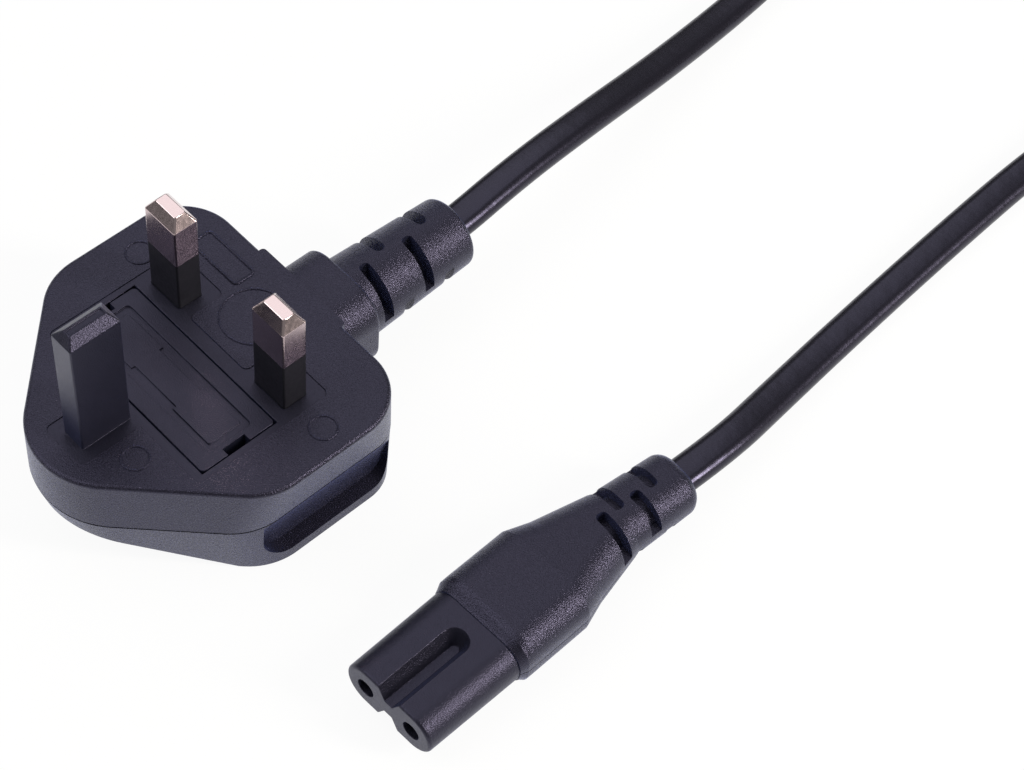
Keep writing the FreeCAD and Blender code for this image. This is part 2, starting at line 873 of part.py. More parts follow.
def plug(cord):
    """All the pieces of the plug, where they lie. The cord is what the relief is moulded round."""
    pieces = {}
    pin_x = pin_spacing / 2
    barrel, caps = fuse()
    line, supply = fuse_clips()
    pieces["neutral_pin"] = pin(-pin_x)
    pieces["live_pin"] = pin(pin_x)
    pieces["neutral_pin_sleeve"] = pin_sleeve(-pin_x)
    pieces["live_pin_sleeve"] = pin_sleeve(pin_x)
    pieces["live_fuse_clip"] = line
    pieces["supply_fuse_clip"] = supply
    pieces["neutral_terminal"] = neutral_terminal()
    cores = (("neutral", neutral_strap_x, -core_x), ("live", supply_strap_x, core_x))
    for name, crimp_x, x in cores:
        jacket, copper = core_and_conductor(plug_core_points(crimp_x, x), crimp_length)
        pieces["plug_core_" + name] = jacket
        pieces["plug_conductor_" + name] = copper
    fixed = list(pieces.values())
    insert = insert_blank(-insert_sink).fuse(earth_bar())
    pocket = box(
        -carrier_half,
        carrier_half,
        fuse_middle - carrier_width / 2,
        fuse_middle + carrier_width / 2,
        clip_floor,
        0,
    )
    pieces["plug_insert"] = insert.removeSplitter().cut([pocket] + fixed)
    shell = plug_shell().fuse(plug_relief()).removeSplitter()
    well = insert_blank(0)
    pieces["plug_body"] = shell.cut([well] + fixed)
    pieces["fuse_carrier"] = carrier()
    pieces["fuse_barrel"] = barrel
    pieces["fuse_cap_supply"], pieces["fuse_cap_live"] = caps
    for shape in pieces.values():
        to_plug_place(shape)
    pieces["plug_body"] = pieces["plug_body"].cut(cord)
    return pieces


def connector_cord():
    """The stretch of cord from inside the connector to the coil."""
    start = (0.0, mouth_y + jacket_in_connector, axis_height)
    bend = (0.0, mouth_y + lean_at, axis_height)
    return cord_tube("cord_connector_end", [start, bend] + connector_route)


def plug_cord():
    """The stretch of cord from inside the plug to the coil."""
    turn = math.radians(plug_turn)
    points = []
    for reach in (jacket_in_plug, plug_straight):
        x = plug_x - reach * math.sin(turn)
        y = plug_y + reach * math.cos(turn)
        points.append((x, y, plug_depth - axis_depth))
    return cord_tube("cord_plug_end", points + plug_route)


def coil(cords):
    """The outer form of the wound cord: a ring of level layers, standing on the floor."""
    turns_across = coil_turns / coil_layers
    across = turns_across * (cord_height + turn_gap) + cord_height
    outer = coil_outer_turn + cord_height / 2
    tall = coil_layers * (cord_width + turn_gap)
    place = vec(coil_x, coil_y, 0)
    ring = Part.makeCylinder(outer, tall, place).cut(Part.makeCylinder(outer - across, tall, place))
    ring = ring.makeFillet(coil_edge, edges_at(ring, "Z", 0.0) + edges_at(ring, "Z", tall))
    middle = 2 * math.pi * (outer - across / 2)
    print("coil length", round(middle * coil_turns, 1), "across", round(2 * outer, 1))
    return ring.cut(cords)


def build():
    cord_a = connector_cord()
    cord_b = plug_cord()
    pieces = {"cord_connector_end": cord_a, "cord_plug_end": cord_b, "cord_coil": coil([cord_a, cord_b])}
    pieces.update(connector(cord_a))
    pieces.update(plug(cord_b))
    return pieces


os.makedirs("parts", exist_ok=True)
for node, shape in build().items():
    print(node, "solids", len(shape.Solids), "valid", shape.isValid(), "volume", round(shape.Volume, 1))
    shape.exportStep("parts/" + node + ".step")
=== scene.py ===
import math

import bmesh
import bpy
from mathutils import Matrix, Vector


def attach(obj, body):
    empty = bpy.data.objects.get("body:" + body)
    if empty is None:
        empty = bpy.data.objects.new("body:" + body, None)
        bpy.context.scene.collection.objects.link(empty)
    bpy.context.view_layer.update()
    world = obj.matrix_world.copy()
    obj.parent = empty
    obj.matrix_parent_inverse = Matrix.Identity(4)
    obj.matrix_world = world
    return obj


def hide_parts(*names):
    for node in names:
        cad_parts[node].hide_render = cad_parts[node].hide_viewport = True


bl_info = {
    "name": "Figure Eight Power Lead",
    "version": (1, 0, 0),
    "blender": (4, 5, 0),
    "location": "View3D > Sidebar > Lead",
    "description": "Dresses a moulded mains lead: plug, flat cord and figure eight connector",
    "category": "Object",
}

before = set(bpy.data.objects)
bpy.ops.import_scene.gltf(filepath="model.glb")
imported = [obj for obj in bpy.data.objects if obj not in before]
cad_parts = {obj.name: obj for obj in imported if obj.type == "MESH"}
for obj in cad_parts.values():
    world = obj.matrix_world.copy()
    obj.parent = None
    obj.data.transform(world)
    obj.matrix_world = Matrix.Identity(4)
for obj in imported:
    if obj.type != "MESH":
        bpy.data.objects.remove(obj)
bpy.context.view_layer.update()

mm = 0.001

# The cord's route from the connector out to the coil, in metres
connector_route = [
    (0.00000, 0.00500, 0.00510),
    (0.00000, 0.01210, 0.00510),
    (0.00170, 0.03600, 0.00470),
    (0.00025, 0.05000, 0.00275),
    (-0.00095, 0.06600, 0.00170),
    (-0.00185, 0.09000, 0.00170),
    (-0.00230, 0.11750, 0.00175),
    (0.00080, 0.14200, 0.00260),
    (0.00750, 0.16600, 0.00290),
]

# The cord's route from the plug out to the coil
plug_route = [
    (-0.050109, 0.01701, 0.01020),
    (-0.049723, 0.03000, 0.01020),
    (-0.05100, 0.04700, 0.01050),
    (-0.05220, 0.06400, 0.00880),
    (-0.05415, 0.08400, 0.00510),
    (-0.05690, 0.10800, 0.00200),
    (-0.05940, 0.13200, 0.00260),
    (-0.06400, 0.15700, 0.00530),
    (-0.06600, 0.18150, 0.00840),
]

# The stretch outside the view over which the cord rolls from lying flat to standing on its edge
roll_from = 0.118
roll_to = 0.165

# The put-away coil, wound on edge: in along the floor, and out again in a layer on top
coil_centre = (-0.028, 0.190)
coil_outer_turn = 0.038
coil_turns = 7.5
coil_height = 0.0029
turn_pitch = 0.00355
layer_height = 0.00575
climb_turns = 0.5
points_in_turn = 16

# How finely the cord is drawn, along its route and round its section
steps_between_points = 10
section_points = 28

# The plug lies on its back, its pins up, turned a little
plug_place = (-0.05091, -0.00998, 0.0204)
plug_turn = math.radians(-1.7)

# Empty rings on the plug's face: centre and radius in the plug's own millimetres
face_rings = [(20.0, 0.0, 1.95), (-19.2, 0.0, 2.0), (7.6, -21.9, 1.9), (-0.3, 4.9, 4.8)]
ring_steps = 72
ring_section_points = 8

# The empty frame on the plug's face: two opposite corners and their rounding, in millimetres
face_frame_low = (-16.1, 6.3)
face_frame_high = (-6.0, 10.1)
face_frame_corner = 0.8
corner_segments = 6

# The hard mouldings whose edges are broken, with the bodies that they ride on
hard_mouldings = {"plug_insert": "lead", "fuse_carrier": "carrier", "connector_nose": "lead"}

# In degrees: faces in one plane, edges that are broken, and edges that stay sharp to the eye
flat_angle = 0.5
broken_angle = 35
crease_angle = 34

# Points of the cord, the marks and the hard mouldings that lie closer than this are one point
cord_weld = 0.00001
mark_weld = 0.000005
moulding_weld = 0.000001

# Most of a noise's values lie in this span
noise_low = 0.3
noise_high = 0.7

# The paper: half its width, its middle, and how much of it is plain white where it is seen
paper_half = 0.55
paper_middle = (-0.03, 0.1, 0.0)
paper_white = 0.93

# The room's light grows from this share low down to all of it overhead
room_low_share = 0.3
room_low = 0.1
room_high = 0.9

# The soft lamps: place, width and height in metres, all turned to one point by the plug
lamp_aim = (-0.03, 0.02, 0.0)
key_place, key_size = (-0.57, 0.30, 1.26), (1.45, 1.45)
side_place, side_size = (0.82, 0.48, 0.56), (0.2, 0.45)
front_place, front_size = (-0.47, -0.60, 0.72), (0.6, 0.6)

# The light at the right is a little warmer than the others
side_warmth = (1.0, 0.94, 0.86)

# Where the photographer stood: metres, degrees and the lens's millimetres
camera_place = (0.10809, -0.13864, 0.29429)
camera_turn = (35.67953, -3.67546, 45.03644)
camera_lens = 87.405
camera_sensor = 36.0


class PowerLeadCord(bpy.types.PropertyGroup):
    """Sizes of the flat cord"""

    width: bpy.props.FloatProperty(
        name="Width",
        description="Width of the flat cord across its two cores",
        default=0.0056,
        min=0.002,
        unit="LENGTH",
    )
    thickness: bpy.props.FloatProperty(
        name="Thickness",
        description="Thickness of the flat cord",
        default=0.0034,
        min=0.001,
        unit="LENGTH",
    )


class PowerLeadMarks(bpy.types.PropertyGroup):
    """Sizes of the raised lines on the plug's face"""

    line_width: bpy.props.FloatProperty(
        name="Line Width",
        description="Width of a raised line",
        default=0.00032,
        min=0.0001,
        unit="LENGTH",
    )
    line_height: bpy.props.FloatProperty(
        name="Line Height",
        description="How far a raised line stands over the face",
        default=0.00017,
        min=0.00002,
        unit="LENGTH",
    )


class PowerLeadFinish(bpy.types.PropertyGroup):
    """Colours and grain of the lead's materials"""

    moulding: bpy.props.StringProperty(
        name="Moulding",
        description="sRGB hex colour of the soft mouldings",
        default="131217",
    )
    hard: bpy.props.StringProperty(
        name="Hard Plastic",
        description="sRGB hex colour of the nose, plug insert and fuse carrier",
        default="131319",
    )
    jacket: bpy.props.StringProperty(
        name="Cord Jacket",
        description="sRGB hex colour of the cord",
        default="111014",
    )
    plating: bpy.props.StringProperty(
        name="Pin Plating",
        description="sRGB hex colour of the plated pins",
        default="D2BFC0",
    )
    broken_edge: bpy.props.FloatProperty(
        name="Broken Edge",
        description="Width of the rounding on the hard mouldings' sharp edges",
        default=0.00009,
        min=0.00002,
        unit="LENGTH",
    )
    grain: bpy.props.FloatProperty(
        name="Grain",
        description="Width of one pit of the soft mouldings' grain",
        default=0.00018,
        min=0.00005,
        unit="LENGTH",
    )


class PowerLeadStage(bpy.types.PropertyGroup):
    """Light on the lead"""

    key: bpy.props.FloatProperty(
        name="Key Light",
        description="Power of the large soft light behind the lead",
        default=7.4,
        min=0.0,
        unit="POWER",
    )
    side: bpy.props.FloatProperty(
        name="Side Light",
        description="Power of the soft light at the right",
        default=12.0,
        min=0.0,
        unit="POWER",
    )
    front: bpy.props.FloatProperty(
        name="Front Light",
        description="Power of the soft light over the connector's mouth",
        default=3.5,
        min=0.0,
        unit="POWER",
    )
    sky: bpy.props.FloatProperty(
        name="Room Light",
        description="Strength of the even light of the room",
        default=0.35,
        min=0.0,
        subtype="FACTOR",
    )


def linear(colour):
    """The linear colour of an sRGB hex value."""
    parts = [int(colour[i:i + 2], 16) / 255 for i in (0, 2, 4)]
    shares = [c / 12.92 if c <= 0.04045 else ((c + 0.055) / 1.055) ** 2.4 for c in parts]
    return shares + [1.0]


# Black PVC mirrors light a little violet, and bluer still where the eye skims its grain
cool_gloss = linear("D8D2FF")
cool_haze = linear("A0ACFF")


def add(material, kind, sockets=None, **settings):
    """Adds a node with its settings, each socket linked to another node's or set to a value."""
    node = material.node_tree.nodes.new(kind)
    for name, value in settings.items():
        setattr(node, name, value)
    for name, value in (sockets or {}).items():
        if isinstance(value, bpy.types.NodeSocket):
            material.node_tree.links.new(value, node.inputs[name])
        else:
            node.inputs[name].default_value = value
    return node


def new_material(name):
    """An empty material with nodes."""
    material = bpy.data.materials.new(name)
    material.use_nodes = True
    material.node_tree.nodes.clear()
    return material


def finish_surface(material, sockets):
    """Ends a material in one shader with these sockets."""
    shader = add(material, "ShaderNodeBsdfPrincipled", sockets)
    add(material, "ShaderNodeOutputMaterial", {"Surface": shader.outputs["BSDF"]})
    return material


def dress(node, material):
    """Gives a CAD node one material."""
    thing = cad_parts[node]
    thing.data.materials.clear()
    thing.data.materials.append(material)


def placed(name, mesh, body, material):
    """Links a finished mesh as a piece that rides on a body."""
    thing = bpy.data.objects.new(name, mesh)
    bpy.context.scene.collection.objects.link(thing)
    mesh.materials.append(material)
    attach(thing, body)
    return thing


# Soft PVC, moulded in a spark eroded tool: a matt black with fine grain that sparkles under a lamp.
# Its real pits are finer than the picture can show, so they are drawn as wide as it needs.
def spark_eroded_pvc(finish):
    material = new_material("spark_eroded_soft_pvc")
    place = add(material, "ShaderNodeTexCoord").outputs["Object"]
    pits = add(material, "ShaderNodeTexNoise", {
        "Vector": place, "Scale": 1 / finish.grain, "Detail": 2.0, "Roughness": 0.6,
    })
    blotches = add(material, "ShaderNodeTexNoise", {
        "Vector": place, "Scale": 1 / (6 * mm), "Detail": 3.0,
    })
    base = linear(finish.moulding)
    colour = add(material, "ShaderNodeMix", {
        "Factor": blotches.outputs["Fac"],
        "A": [c * 0.85 for c in base[:3]] + [1.0],
        "B": [c * 1.2 for c in base[:3]] + [1.0],
    }, data_type="RGBA")
    shine = add(material, "ShaderNodeMapRange", {
        "Value": pits.outputs["Fac"],
        "From Min": noise_low,
        "From Max": noise_high,
        "To Min": 0.18,
        "To Max": 0.36,
    })
    bump = add(material, "ShaderNodeBump", {
        "Height": pits.outputs["Fac"], "Strength": 1.0, "Distance": 0.09 * mm,
    })
    return finish_surface(material, {
        "Base Color": colour.outputs["Result"],
        "Roughness": shine.outputs["Result"],
        "Specular IOR Level": 0.55,
        "Specular Tint": cool_gloss,
        "Sheen Weight": 0.28,
        "Sheen Roughness": 0.4,
        "Sheen Tint": cool_haze,
        "Normal": bump.outputs["Normal"],
    })


# Hard thermoplastic from a finely blasted tool: an even satin, smoother than the soft mouldings.
# Its real grain is finer too, and is drawn as wide as theirs.
def blasted_thermoplastic(finish):
    material = new_material("blasted_hard_thermoplastic")
    place = add(material, "ShaderNodeTexCoord").outputs["Object"]
    grain = add(material, "ShaderNodeTexNoise", {
        "Vector": place, "Scale": 1 / (0.18 * mm), "Detail": 2.0,
    })
    rub = add(material, "ShaderNodeTexNoise", {
        "Vector": place, "Scale": 1 / (3 * mm), "Detail": 4.0,
    })
    base = linear(finish.hard)
    colour = add(material, "ShaderNodeMix", {
        "Factor": rub.outputs["Fac"],
        "A": [c * 0.94 for c in base[:3]] + [1.0],
        "B": [c * 1.06 for c in base[:3]] + [1.0],
    }, data_type="RGBA")
    shine = add(material, "ShaderNodeMapRange", {
        "Value": rub.outputs["Fac"],
        "From Min": noise_low,
        "From Max": noise_high,
        "To Min": 0.32,
        "To Max": 0.37,
    })
    bump = add(material, "ShaderNodeBump", {
        "Height": grain.outputs["Fac"], "Strength": 1.0, "Distance": 0.07 * mm,
    })
    return finish_surface(material, {
        "Base Color": colour.outputs["Result"],
        "Roughness": shine.outputs["Result"],
        "Specular IOR Level": 0.5,
        "Specular Tint": cool_gloss,
        "Sheen Weight": 0.14,
        "Sheen Roughness": 0.4,
        "Sheen Tint": cool_haze,
        "Normal": bump.outputs["Normal"],
    })


# Extruded PVC jacket: half gloss, with soft waves where it was drawn over the two cores
def extruded_jacket(finish):
    material = new_material("extruded_pvc_jacket")
    place = add(material, "ShaderNodeTexCoord").outputs["Object"]
    waves = add(material, "ShaderNodeTexNoise", {
        "Vector": place, "Scale": 1 / (2.5 * mm), "Detail": 2.0,
    })
    skin = add(material, "ShaderNodeTexNoise", {
        "Vector": place, "Scale": 1 / (0.3 * mm), "Detail": 3.0,
    })
    base = linear(finish.jacket)
    colour = add(material, "ShaderNodeMix", {
        "Factor": waves.outputs["Fac"],
        "A": [c * 0.9 for c in base[:3]] + [1.0],
        "B": [c * 1.15 for c in base[:3]] + [1.0],
    }, data_type="RGBA")
    shine = add(material, "ShaderNodeMapRange", {
        "Value": skin.outputs["Fac"],
        "From Min": noise_low,
        "From Max": noise_high,
        "To Min": 0.24,
        "To Max": 0.34,
    })
    soft = add(material, "ShaderNodeBump", {
        "Height": waves.outputs["Fac"], "Strength": 1.0, "Distance": 0.06 * mm,
    })
    bump = add(material, "ShaderNodeBump", {
        "Height": skin.outputs["Fac"],
        "Strength": 1.0,
        "Distance": 0.008 * mm,
        "Normal": soft.outputs["Normal"],
    })
    return finish_surface(material, {
        "Base Color": colour.outputs["Result"],
        "Roughness": shine.outputs["Result"],
        "Specular IOR Level": 0.5,
        "Specular Tint": cool_gloss,
        "Normal": bump.outputs["Normal"],
    })


# Nylon sleeves moulded on the pins: a smooth satin black
def nylon_sleeve():
    material = new_material("moulded_nylon_sleeve")
    place = add(material, "ShaderNodeTexCoord").outputs["Object"]
    skin = add(material, "ShaderNodeTexNoise", {
        "Vector": place, "Scale": 1 / (0.5 * mm), "Detail": 3.0,
    })
    shine = add(material, "ShaderNodeMapRange", {
        "Value": skin.outputs["Fac"],
        "From Min": noise_low,
        "From Max": noise_high,
        "To Min": 0.3,
        "To Max": 0.42,
    })
    bump = add(material, "ShaderNodeBump", {
        "Height": skin.outputs["Fac"], "Strength": 1.0, "Distance": 0.008 * mm,
    })
    return finish_surface(material, {
        "Base Color": linear("15151A"),
        "Roughness": shine.outputs["Result"],
        "Specular IOR Level": 0.5,
        "Normal": bump.outputs["Normal"],
    })


# Plated or drawn metal: fine scratches up and down the part break up its reflections
def drawn_metal(name, colour, rough, scratch):
    material = new_material(name)
    place = add(material, "ShaderNodeTexCoord").outputs["Object"]
    along = add(material, "ShaderNodeMapping", {"Vector": place, "Scale": (1.0, 1.0, 0.08)})
    lines = add(material, "ShaderNodeTexNoise", {
        "Vector": along.outputs["Vector"], "Scale": 1 / scratch, "Detail": 3.0,
    })
    shine = add(material, "ShaderNodeMapRange", {
        "Value": lines.outputs["Fac"],
        "From Min": noise_low,
        "From Max": noise_high,
        "To Min": rough * 0.85,
        "To Max": rough * 1.15,
    })
    bump = add(material, "ShaderNodeBump", {
        "Height": lines.outputs["Fac"], "Strength": 1.0, "Distance": 0.0001 * mm,
    })
    return finish_surface(material, {
        "Base Color": linear(colour),
        "Metallic": 1.0,
        "Roughness": shine.outputs["Result"],
        "Normal": bump.outputs["Normal"],
    })


# Smooth hidden parts, core insulation and the fuse's glazed tube: a faint cloud in the colour
def plain_gloss(name, colour, rough):
    material = new_material(name)
    place = add(material, "ShaderNodeTexCoord").outputs["Object"]
    cloud = add(material, "ShaderNodeTexNoise", {
        "Vector": place, "Scale": 1 / (1.5 * mm), "Detail": 2.0,
    })
    base = linear(colour)
    tint = add(material, "ShaderNodeMix", {
        "Factor": cloud.outputs["Fac"],
        "A": [c * 0.92 for c in base[:3]] + [1.0],
        "B": [min(1.0, c * 1.06) for c in base[:3]] + [1.0],
    }, data_type="RGBA")
    bump = add(material, "ShaderNodeBump", {
        "Height": cloud.outputs["Fac"], "Strength": 1.0, "Distance": 0.01 * mm,
    })
    return finish_surface(material, {
        "Base Color": tint.outputs["Result"],
        "Roughness": rough,
        "Specular IOR Level": 0.5,
        "Normal": bump.outputs["Normal"],
    })


def coil_point(turns):
    """The point of the coil's route after so many turns."""
    inwards = min(turns, coil_turns - turns)
    spread = 1 / math.cos(math.pi / points_in_turn)
    radius = (coil_outer_turn - turn_pitch * inwards) * spread
    start = (coil_turns - climb_turns) / 2
    climb = min(1.0, max(0.0, (turns - start) / climb_turns))
    angle = 2 * math.pi * turns
    return (
        coil_centre[0] + radius * math.cos(angle),
        coil_centre[1] + radius * math.sin(angle),
        coil_height + layer_height * climb * climb * (3 - 2 * climb),
    )


def roll_at(y):
    """How far the cord is rolled onto its edge this far along Y."""
    share = min(1.0, max(0.0, (y - roll_from) / (roll_to - roll_from)))
    return math.pi / 2 * share


def meshed(context, line):
    """The mesh of a curve as it is set up at this moment."""
    context.view_layer.update()
    graph = context.evaluated_depsgraph_get()
    return bpy.data.meshes.new_from_object(line.evaluated_get(graph), depsgraph=graph)


def cord_outline(cord):
    """The flat cord's section as a closed curve: two half rounds and the flats between them."""
    edge = bpy.data.curves.new("cord_section", "CURVE")
    edge.dimensions = "2D"
    oval = edge.splines.new("POLY")
    oval.points.add(section_points - 1)
    flat = (cord.width - cord.thickness) / 2
    for i in range(section_points):
        angle = 2 * math.pi * (i + 0.5) / section_points
        side = flat if math.cos(angle) > 0 else -flat
        x = side + cord.thickness / 2 * math.cos(angle)
        oval.points[i].co = (x, cord.thickness / 2 * math.sin(angle), 0.0, 1.0)
    oval.use_cyclic_u = True
    return edge


class LEAD_OT_cord(bpy.types.Operator):
    """Lays the flat cord from the connector through its coil to the plug"""

    bl_idname = "power_lead.cord"
    bl_label = "Lay Cord"

    def execute(self, context):
        cord = context.scene.power_lead_cord
        points = [(point, roll_at(point[1])) for point in connector_route]
        last = int(coil_turns * points_in_turn)
        points += [(coil_point(i / points_in_turn), math.pi / 2) for i in range(last + 1)]
        points += [(point, roll_at(point[1])) for point in reversed(plug_route)]

        curve = bpy.data.curves.new("cord_line", "CURVE")
        curve.dimensions = "3D"
        curve.twist_mode = "Z_UP"
        curve.resolution_u = steps_between_points
        spline = curve.splines.new("NURBS")
        spline.points.add(len(points) - 1)
        for knot, (place, roll) in zip(spline.points, points):
            knot.co = (*place, 1.0)
            knot.tilt = roll
        spline.order_u = 3
        spline.use_endpoint_u = True
        line = bpy.data.objects.new("cord_line", curve)
        context.scene.collection.objects.link(line)

        section = bpy.data.objects.new("cord_section", cord_outline(cord))
        context.scene.collection.objects.link(section)

        path = [tuple(vertex.co) for vertex in meshed(context, line).vertices]
        curve.bevel_mode = "OBJECT"
        curve.bevel_object = section
        curve.use_fill_caps = True
        mesh = meshed(context, line)
        for spare in (line, section):
            bpy.data.objects.remove(spare)

        shape = bmesh.new()
        shape.from_mesh(mesh)
        bmesh.ops.remove_doubles(shape, verts=shape.verts, dist=cord_weld)
        bmesh.ops.recalc_face_normals(shape, faces=shape.faces)
        for face in shape.faces:
            face.smooth = len(face.verts) == 4
        shape.to_mesh(mesh)
        shape.free()

        mesh.materials.clear()
        jacket = bpy.data.materials["extruded_pvc_jacket"]
        thing = placed("cord", mesh, "lead", jacket)
        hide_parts("cord_connector_end", "cord_plug_end", "cord_coil")
        on_the_end = [
            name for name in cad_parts
            if name.startswith(("plug_", "live_", "neutral_", "supply_", "fuse_"))
        ]
        on_the_end += ["plug_insert_edged", "fuse_carrier_edged", "plug_rings"]
        return {"FINISHED"}


def ring_mark(shape, x, y, radius, width):
    """Adds a raised ring to a mesh: a small round section spun about the ring's centre."""
    turn = Matrix.Rotation(math.pi / 2, 4, "X")
    place = Matrix.Translation((x + radius, y, 0.0)) @ turn
    made = bmesh.ops.create_circle(
        shape,
        segments=ring_section_points,
        radius=width / 2,
        matrix=place,
    )
    edges = list({edge for vertex in made["verts"] for edge in vertex.link_edges})
    bmesh.ops.spin(
        shape,
        geom=made["verts"] + edges,
        cent=(x, y, 0.0),
        axis=(0.0, 0.0, 1.0),
        angle=2 * math.pi,
        steps=ring_steps,
        use_merge=True,
    )


def frame_mark(shape, low, high, corner, width):
    """Adds a raised line round a rectangle to a mesh: a rounded sheet, its rim drawn up."""
    corners = bmesh.ops.create_grid(shape, x_segments=1, y_segments=1, size=0.5)["verts"]
    spans = [b - a for a, b in zip(low, high)]
    middle = [(a + b) / 2 for a, b in zip(low, high)]
    bmesh.ops.scale(shape, vec=(*spans, 1.0), verts=corners)
    bmesh.ops.translate(shape, vec=(*middle, -0.25 * width), verts=corners)
    rounded = bmesh.ops.bevel(
        shape,
        geom=corners,
        offset=corner,
        offset_type="OFFSET",
        affect="VERTICES",
        segments=corner_segments,
        profile=0.5,
        material=-1,
    )
    sheet = list({face for vertex in rounded["verts"] for face in vertex.link_faces})
    rim = bmesh.ops.inset_individual(
        shape,
        faces=sheet,
        thickness=width,
        use_even_offset=True,
    )["faces"]
    bmesh.ops.delete(shape, geom=sheet, context="FACES_ONLY")
    risen = bmesh.ops.extrude_face_region(shape, geom=rim, use_keep_orig=True)["geom"]
    top = [part for part in risen if isinstance(part, bmesh.types.BMVert)]
    bmesh.ops.translate(shape, vec=(0.0, 0.0, 0.75 * width), verts=top)


class LEAD_OT_marks(bpy.types.Operator):
    """Raises the thin rings and the frame on the plug's face"""

    bl_idname = "power_lead.marks"
    bl_label = "Raise Marks"

    def execute(self, context):
        marks = context.scene.power_lead_marks
        shape = bmesh.new()
        for x, y, radius in face_rings:
            ring_mark(shape, x * mm, y * mm, radius * mm, marks.line_width)
        low = [part * mm for part in face_frame_low]
        high = [part * mm for part in face_frame_high]
        frame_mark(shape, low, high, face_frame_corner * mm, marks.line_width)
        bmesh.ops.remove_doubles(shape, verts=shape.verts, dist=mark_weld)
        rise = 2 * marks.line_height / marks.line_width
        bmesh.ops.scale(shape, vec=(1.0, 1.0, rise), verts=shape.verts)
        bmesh.ops.recalc_face_normals(shape, faces=shape.faces)
        place = Matrix.Translation(plug_place) @ Matrix.Rotation(plug_turn, 4, "Z")
        bmesh.ops.transform(shape, matrix=place, verts=shape.verts)
        for face in shape.faces:
            face.smooth = True
        mesh = bpy.data.meshes.new("plug_rings")
        shape.to_mesh(mesh)
        shape.free()
        soft = bpy.data.materials["spark_eroded_soft_pvc"]
        placed("plug_rings", mesh, "lead", soft)
        return {"FINISHED"}


class LEAD_OT_finish(bpy.types.Operator):
    """Makes the materials and gives the CAD nodes theirs"""

    bl_idname = "power_lead.finish"
    bl_label = "Apply Finishes"

    def execute(self, context):
        finish = context.scene.power_lead_finish
        by_slot = {
            "overmould": spark_eroded_pvc(finish),
            "hard_plastic": blasted_thermoplastic(finish),
            "cord_jacket": extruded_jacket(finish),
            "pin_sleeve": nylon_sleeve(),
            "plated_pin": drawn_metal(
                "nickel_plated_brass", finish.plating, rough=0.19, scratch=0.35 * mm,
            ),
            "contact_metal": drawn_metal(
                "tinned_spring_bronze", "B9B4AA", rough=0.34, scratch=0.4 * mm,
            ),
            "fuse_metal": drawn_metal(
                "nickelled_fuse_cap", "CFCAC2", rough=0.28, scratch=0.3 * mm,
            ),
            "copper": drawn_metal(
                "drawn_copper_strand", "C77B58", rough=0.3, scratch=0.25 * mm,
            ),
            "fuse_ceramic": plain_gloss("glazed_fuse_ceramic", "E4E0D6", rough=0.25),
            "core_blue": plain_gloss("blue_pvc_core", "2A5CA8", rough=0.42),
            "core_brown": plain_gloss("brown_pvc_core", "5B3A22", rough=0.42),
        }
        for node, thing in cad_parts.items():
            slot = thing.data.materials[0].name.split(".")[0]
            dress(node, by_slot[slot])
        return {"FINISHED"}


class LEAD_OT_edges(bpy.types.Operator):
    """Breaks the sharp edges of the hard mouldings, as their tool leaves them"""

    bl_idname = "power_lead.edges"
    bl_label = "Break Edges"

    def execute(self, context):
        size = context.scene.power_lead_finish.broken_edge
        material = bpy.data.materials["blasted_hard_thermoplastic"]
        for node, body in hard_mouldings.items():
            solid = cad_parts[node]
            shape = bmesh.new()
            shape.from_mesh(solid.data)
            bmesh.ops.remove_doubles(shape, verts=shape.verts, dist=moulding_weld)
            bmesh.ops.dissolve_limit(
                shape,
                angle_limit=math.radians(flat_angle),
                verts=shape.verts,
                edges=shape.edges,
            )
            limit = math.radians(broken_angle)
            sharp = [edge for edge in shape.edges if edge.calc_face_angle(0.0) > limit]
            bmesh.ops.bevel(
                shape,
                geom=sharp,
                offset=size,
                offset_type="OFFSET",
                affect="EDGES",
                segments=2,
                profile=0.5,
                material=-1,
                clamp_overlap=False,
            )
            for face in shape.faces:
                face.smooth = True
            mesh = bpy.data.meshes.new(node + "_edged")
            shape.to_mesh(mesh)
            shape.free()
            mesh.set_sharp_from_angle(angle=math.radians(crease_angle))
            thing = placed(node + "_edged", mesh, body, material)
            flats = thing.modifiers.new("flat_faces", "WEIGHTED_NORMAL")
            flats.mode = "FACE_AREA"
            flats.keep_sharp = True
            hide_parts(node)
        return {"FINISHED"}


def soft_lamp(context, name, place, size, power):
    """A soft lamp turned towards the lead."""
    lamp = bpy.data.lights.new(name, "AREA")
    lamp.shape = "RECTANGLE"
    lamp.size, lamp.size_y = size
    lamp.energy = power
    thing = bpy.data.objects.new(name, lamp)
    context.scene.collection.objects.link(thing)
    towards = Vector(lamp_aim) - Vector(place)
    thing.location = place
    thing.rotation_euler = towards.to_track_quat("-Z", "Y").to_euler()
    return thing


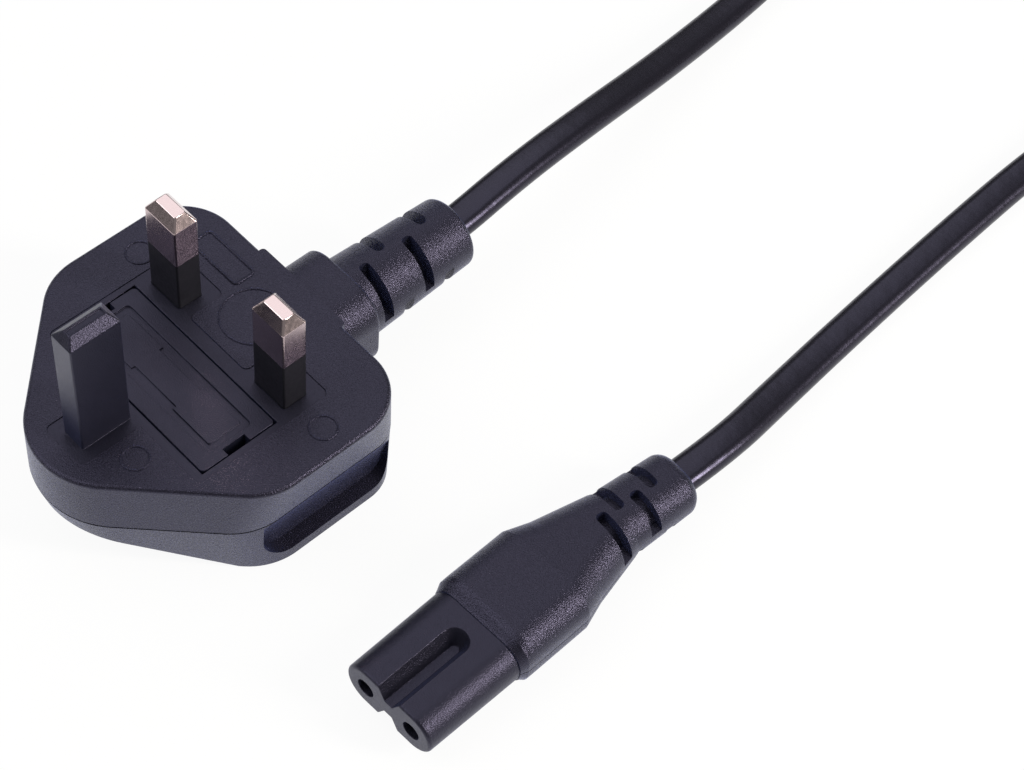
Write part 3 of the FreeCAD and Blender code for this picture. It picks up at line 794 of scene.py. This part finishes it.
class LEAD_OT_studio(bpy.types.Operator):
    """Sets up the white floor, the soft lamps, the room's light and the camera"""

    bl_idname = "power_lead.studio"
    bl_label = "Set Up Studio"

    def execute(self, context):
        stage = context.scene.power_lead_stage
        shape = bmesh.new()
        bmesh.ops.create_grid(shape, x_segments=1, y_segments=1, size=paper_half)
        bmesh.ops.translate(shape, vec=paper_middle, verts=shape.verts)
        mesh = bpy.data.meshes.new("floor")
        shape.to_mesh(mesh)
        shape.free()
        floor = bpy.data.objects.new("floor", mesh)
        context.scene.collection.objects.link(floor)

        # White paper: it bounces the lamps' light on the lead, and is white where it is seen itself
        paper = new_material("white_paper_floor")
        rays = add(paper, "ShaderNodeLightPath")
        seen = add(paper, "ShaderNodeMath", {
            0: rays.outputs["Is Camera Ray"], 1: rays.outputs["Is Glossy Ray"],
        }, operation="MAXIMUM")
        through = add(paper, "ShaderNodeMath", {
            0: seen.outputs[0], 1: rays.outputs["Is Transmission Ray"],
        }, operation="MAXIMUM")
        share = add(paper, "ShaderNodeMath", {
            0: through.outputs[0], 1: paper_white,
        }, operation="MULTIPLY")
        matt = add(paper, "ShaderNodeBsdfDiffuse", {"Color": linear("F4F4F4")})
        glow = add(paper, "ShaderNodeEmission", {
            "Color": (1.0, 1.0, 1.0, 1.0), "Strength": 1.0,
        })
        both = add(paper, "ShaderNodeMixShader", {
            0: share.outputs[0], 1: matt.outputs[0], 2: glow.outputs[0],
        })
        add(paper, "ShaderNodeOutputMaterial", {"Surface": both.outputs[0]})
        mesh.materials.append(paper)

        world = bpy.data.worlds.new("studio_room")
        context.scene.world = world
        world.use_nodes = True
        world.node_tree.nodes.clear()
        rays = add(world, "ShaderNodeLightPath")
        up = add(world, "ShaderNodeTexCoord").outputs["Generated"]
        height = add(world, "ShaderNodeSeparateXYZ", {"Vector": up})
        dim = add(world, "ShaderNodeMapRange", {
            "Value": height.outputs["Z"],
            "From Min": room_low,
            "From Max": room_high,
            "To Min": stage.sky * room_low_share,
            "To Max": stage.sky,
        })
        room = add(world, "ShaderNodeBackground", {
            "Color": (1.0, 1.0, 1.0, 1.0), "Strength": dim.outputs["Result"],
        })
        white = add(world, "ShaderNodeBackground", {
            "Color": (1.0, 1.0, 1.0, 1.0), "Strength": 1.0,
        })
        sky = add(world, "ShaderNodeMixShader", {
            0: rays.outputs["Is Camera Ray"], 1: room.outputs[0], 2: white.outputs[0],
        })
        add(world, "ShaderNodeOutputWorld", {"Surface": sky.outputs[0]})

        soft_lamp(context, "key_softbox", key_place, key_size, stage.key)
        side = soft_lamp(context, "side_softbox", side_place, side_size, stage.side)
        side.data.color = side_warmth
        soft_lamp(context, "front_softbox", front_place, front_size, stage.front)

        lens = bpy.data.cameras.new("camera")
        lens.sensor_fit = "HORIZONTAL"
        lens.sensor_width = camera_sensor
        lens.lens = camera_lens
        lens.clip_start = 0.01
        lens.clip_end = 20.0
        camera = bpy.data.objects.new("camera", lens)
        context.scene.collection.objects.link(camera)
        camera.location = camera_place
        camera.rotation_euler = [math.radians(angle) for angle in camera_turn]
        context.scene.camera = camera
        context.scene.view_settings.view_transform = "Standard"
        return {"FINISHED"}


class LEAD_PT_panel(bpy.types.Panel):
    """Lists the lead's steps and sizes"""

    bl_idname = "LEAD_PT_panel"
    bl_label = "Power Lead"
    bl_space_type = "VIEW_3D"
    bl_region_type = "UI"
    bl_category = "Lead"

    def draw(self, context):
        for group in groups:
            settings = getattr(context.scene, group)
            for name in settings.__annotations__:
                self.layout.prop(settings, name)
        for step in steps:
            self.layout.operator(step.bl_idname)


groups = {
    "power_lead_cord": PowerLeadCord,
    "power_lead_marks": PowerLeadMarks,
    "power_lead_finish": PowerLeadFinish,
    "power_lead_stage": PowerLeadStage,
}
steps = (LEAD_OT_finish, LEAD_OT_edges, LEAD_OT_marks, LEAD_OT_cord, LEAD_OT_studio)
classes = (*groups.values(), *steps, LEAD_PT_panel)


def register():
    for item in classes:
        bpy.utils.register_class(item)
    for name, group in groups.items():
        setattr(bpy.types.Scene, name, bpy.props.PointerProperty(type=group))


def unregister():
    for name in groups:
        delattr(bpy.types.Scene, name)
    for item in reversed(classes):
        bpy.utils.unregister_class(item)


def main():
    """Runs every step in order."""
    register()
    bpy.ops.power_lead.finish()
    bpy.ops.power_lead.edges()
    bpy.ops.power_lead.marks()
    bpy.ops.power_lead.cord()
    bpy.ops.power_lead.studio()


if __name__ == "__main__":
    main()
